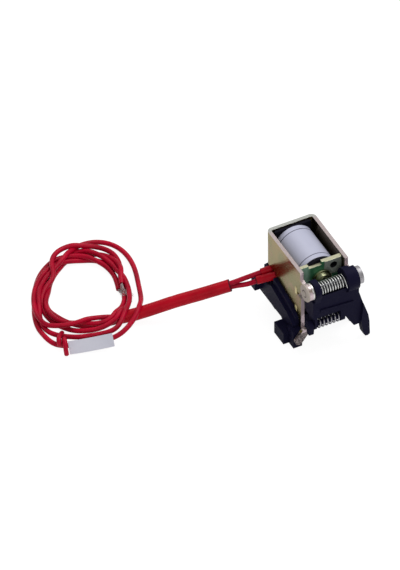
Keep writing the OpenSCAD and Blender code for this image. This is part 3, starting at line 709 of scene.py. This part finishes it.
def redPlastic(name, deep, bright, shine, shadedSleeveEnds):
    paint = Paint(name)
    cloud = paint.noise(130, 2)
    fine = paint.noise(1500, 2, 0.6)
    colour = paint.mix(paint.spread(cloud, 0.3, 0.7), deep, bright)
    for start, far, wide, tone in shadedSleeveEnds:  # painted shade darkens a sleeve's open end
        way = (Vector(far) - Vector(start)).normalized()
        along = paint.part("X") * way.x + paint.part("Y") * way.y + paint.part("Z") * way.z
        colour = paint.mix(abs(along - way.dot(Vector(start)) * mm) < wide * mm, colour, tone)
    return paint.finish({"Base Color": colour, "Roughness": shine + 0.12 * fine,
                         "Normal": paint.bump(fine, 0.06), "Specular IOR Level": 0.14})


# painted shade at a sleeve's open end: where it is, what it faces, its width in millimetres and its tone
shadedSleeveEnds = [(sleeveRoute[0], sleeveRoute[1], 0.45, (0.10, 0.0015, 0.010)),
        (jointLineB[-1], besideSleeve(1)[0], 0.45, (0.16, 0.001, 0.008))]
finishes = {
    "yokePlating": yokePlating(),
    "platePlating": platePlating(),
    "blackPlastic": blackPlastic("blackPlastic", (0.0080, 0.0072, 0.025), 0.45),
    "formerPlastic": blackPlastic("formerPlastic", (0.006, 0.0055, 0.010), 0.5),
    "copperWinding": copperWinding(),
    "paperLabel": paperLabel(),
    "tagPaper": tagPaper(),
    "turnedSteel": steel("turnedSteel", (0.22, 0.25, 0.14), (0.40, 0.40, 0.25), 0.24, (1, 0.2, 1)),
    "strikerSteel": steel("strikerSteel", (0.13, 0.145, 0.075), (0.26, 0.26, 0.15), 0.34, (1, 0.2, 1)),
    "brightSteel": steel("brightSteel", (0.55, 0.53, 0.52), (0.78, 0.76, 0.74), 0.24, (1, 1, 1)),
    "pinSteel": pinSteel(),
    "springWire": steel("springWire", (0.50, 0.51, 0.50), (0.80, 0.80, 0.78), 0.2, (1, 1, 1)),
    "pawlWire": steel("pawlWire", (0.29, 0.285, 0.31), (0.50, 0.49, 0.53), 0.3, (1, 1, 1)),
    "tinnedStrand": steel("tinnedStrand", (0.36, 0.28, 0.28), (0.60, 0.53, 0.53), 0.3, (1, 1, 1)),
    "redLead": redPlastic("redLead", (0.37, 0.0004, 0.019), (0.55, 0.0008, 0.029), 0.32, []),
    "redSleeve": redPlastic("redSleeve", (0.43, 0.0004, 0.011), (0.54, 0.0008, 0.0145), 0.34, shadedSleeveEnds),
}
worn = {
    "carrier_base": "blackPlastic", "yoke_frame": "yokePlating", "front_plate": "platePlating",
    "bobbin": "formerPlastic", "winding": "copperWinding", "coil_label": "paperLabel",
    "pole_bush": "turnedSteel", "armature": "turnedSteel", "striker": "strikerSteel",
    "armature_spring": "springWire",
    "pivot_pin": "pinSteel", "pin_washer": "brightSteel", "trip_lever": "blackPlastic",
    "lever_spring": "springWire", "lower_spindle": "blackPlastic", "pawl": "blackPlastic",
    "pawl_spring": "pawlWire", "solder_pins": "tinnedStrand", "lead_a": "redLead", "lead_b": "redLead",
    "joint_sleeves": "redSleeve", "bundle_sleeve": "redSleeve", "lead_coil": "redLead",
    "marker_tag": "tagPaper", "tinned_ends": "tinnedStrand",
}
for name, finish in worn.items():
    part = nodes[name]
    if not part.material_slots:
        part.data.materials.append(None)
    for holder in part.material_slots:
        holder.material = finishes[finish]

# soft edges on the moulded and pressed parts, in millimetres
softEdges = {"carrier_base": 0.3, "trip_lever": 0.35, "yoke_frame": 0.2, "front_plate": 0.12, "pawl": 0.25,
             "bobbin": 0.2, "pivot_pin": 0.3, "pole_bush": 0.15, "striker": 0.2, "pin_washer": 0.12}
edgeStyle = {"weld": 0.000005, "segments": 2, "angle": 32}
for name, width in softEdges.items():
    part = nodes[name]
    part.modifiers.new("weld", "WELD").merge_threshold = edgeStyle["weld"]
    edge = part.modifiers.new("softEdge", "BEVEL")
    edge.width = width * mm
    edge.segments = edgeStyle["segments"]
    edge.limit_method = "ANGLE"
    edge.angle_limit = math.radians(edgeStyle["angle"])
    edge.use_clamp_overlap = True
print("finishes on")

# what rides on what: piece, body, nodes it stands for, finish, slot
pieces = [
    (leadA, "frame", ["lead_a", "lead_coil"], "redLead", "red_lead"),
    (leadB, "frame", ["lead_b"], "redLead", "red_lead"),
    (bundleSleeve, "frame", ["bundle_sleeve"], "redSleeve", "red_sleeve"),
    (jointSleeveA, "frame", ["joint_sleeves"], "redSleeve", "red_sleeve"),
    (jointSleeveB, "frame", ["joint_sleeves"], "redSleeve", "red_sleeve"),
    (leverSpring, "frame", ["lever_spring"], "springWire", "spring_wire"),
    (pawlSpring, "lever", ["pawl_spring"], "pawlWire", "spring_wire"),
    (armatureSpring, "frame", ["armature_spring"], "springWire", "spring_wire"),
    (markerTag, "frame", ["marker_tag"], "tagPaper", "paper"),
    (tagTie, "frame", [], "redLead", "red_lead"),
    (tinnedEndA, "frame", ["tinned_ends"], "tinnedStrand", "tinned"),
    (tinnedEndB, "frame", ["tinned_ends"], "tinnedStrand", "tinned"),
]
for piece, body, stoodFor, finish, slotName in pieces:
    piece.data.materials.clear()
    piece.data.materials.append(finishes[finish])
    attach(piece, body)
    if stoodFor:
        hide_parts(*stoodFor)
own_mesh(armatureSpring)  # the spring gets a mesh of its own
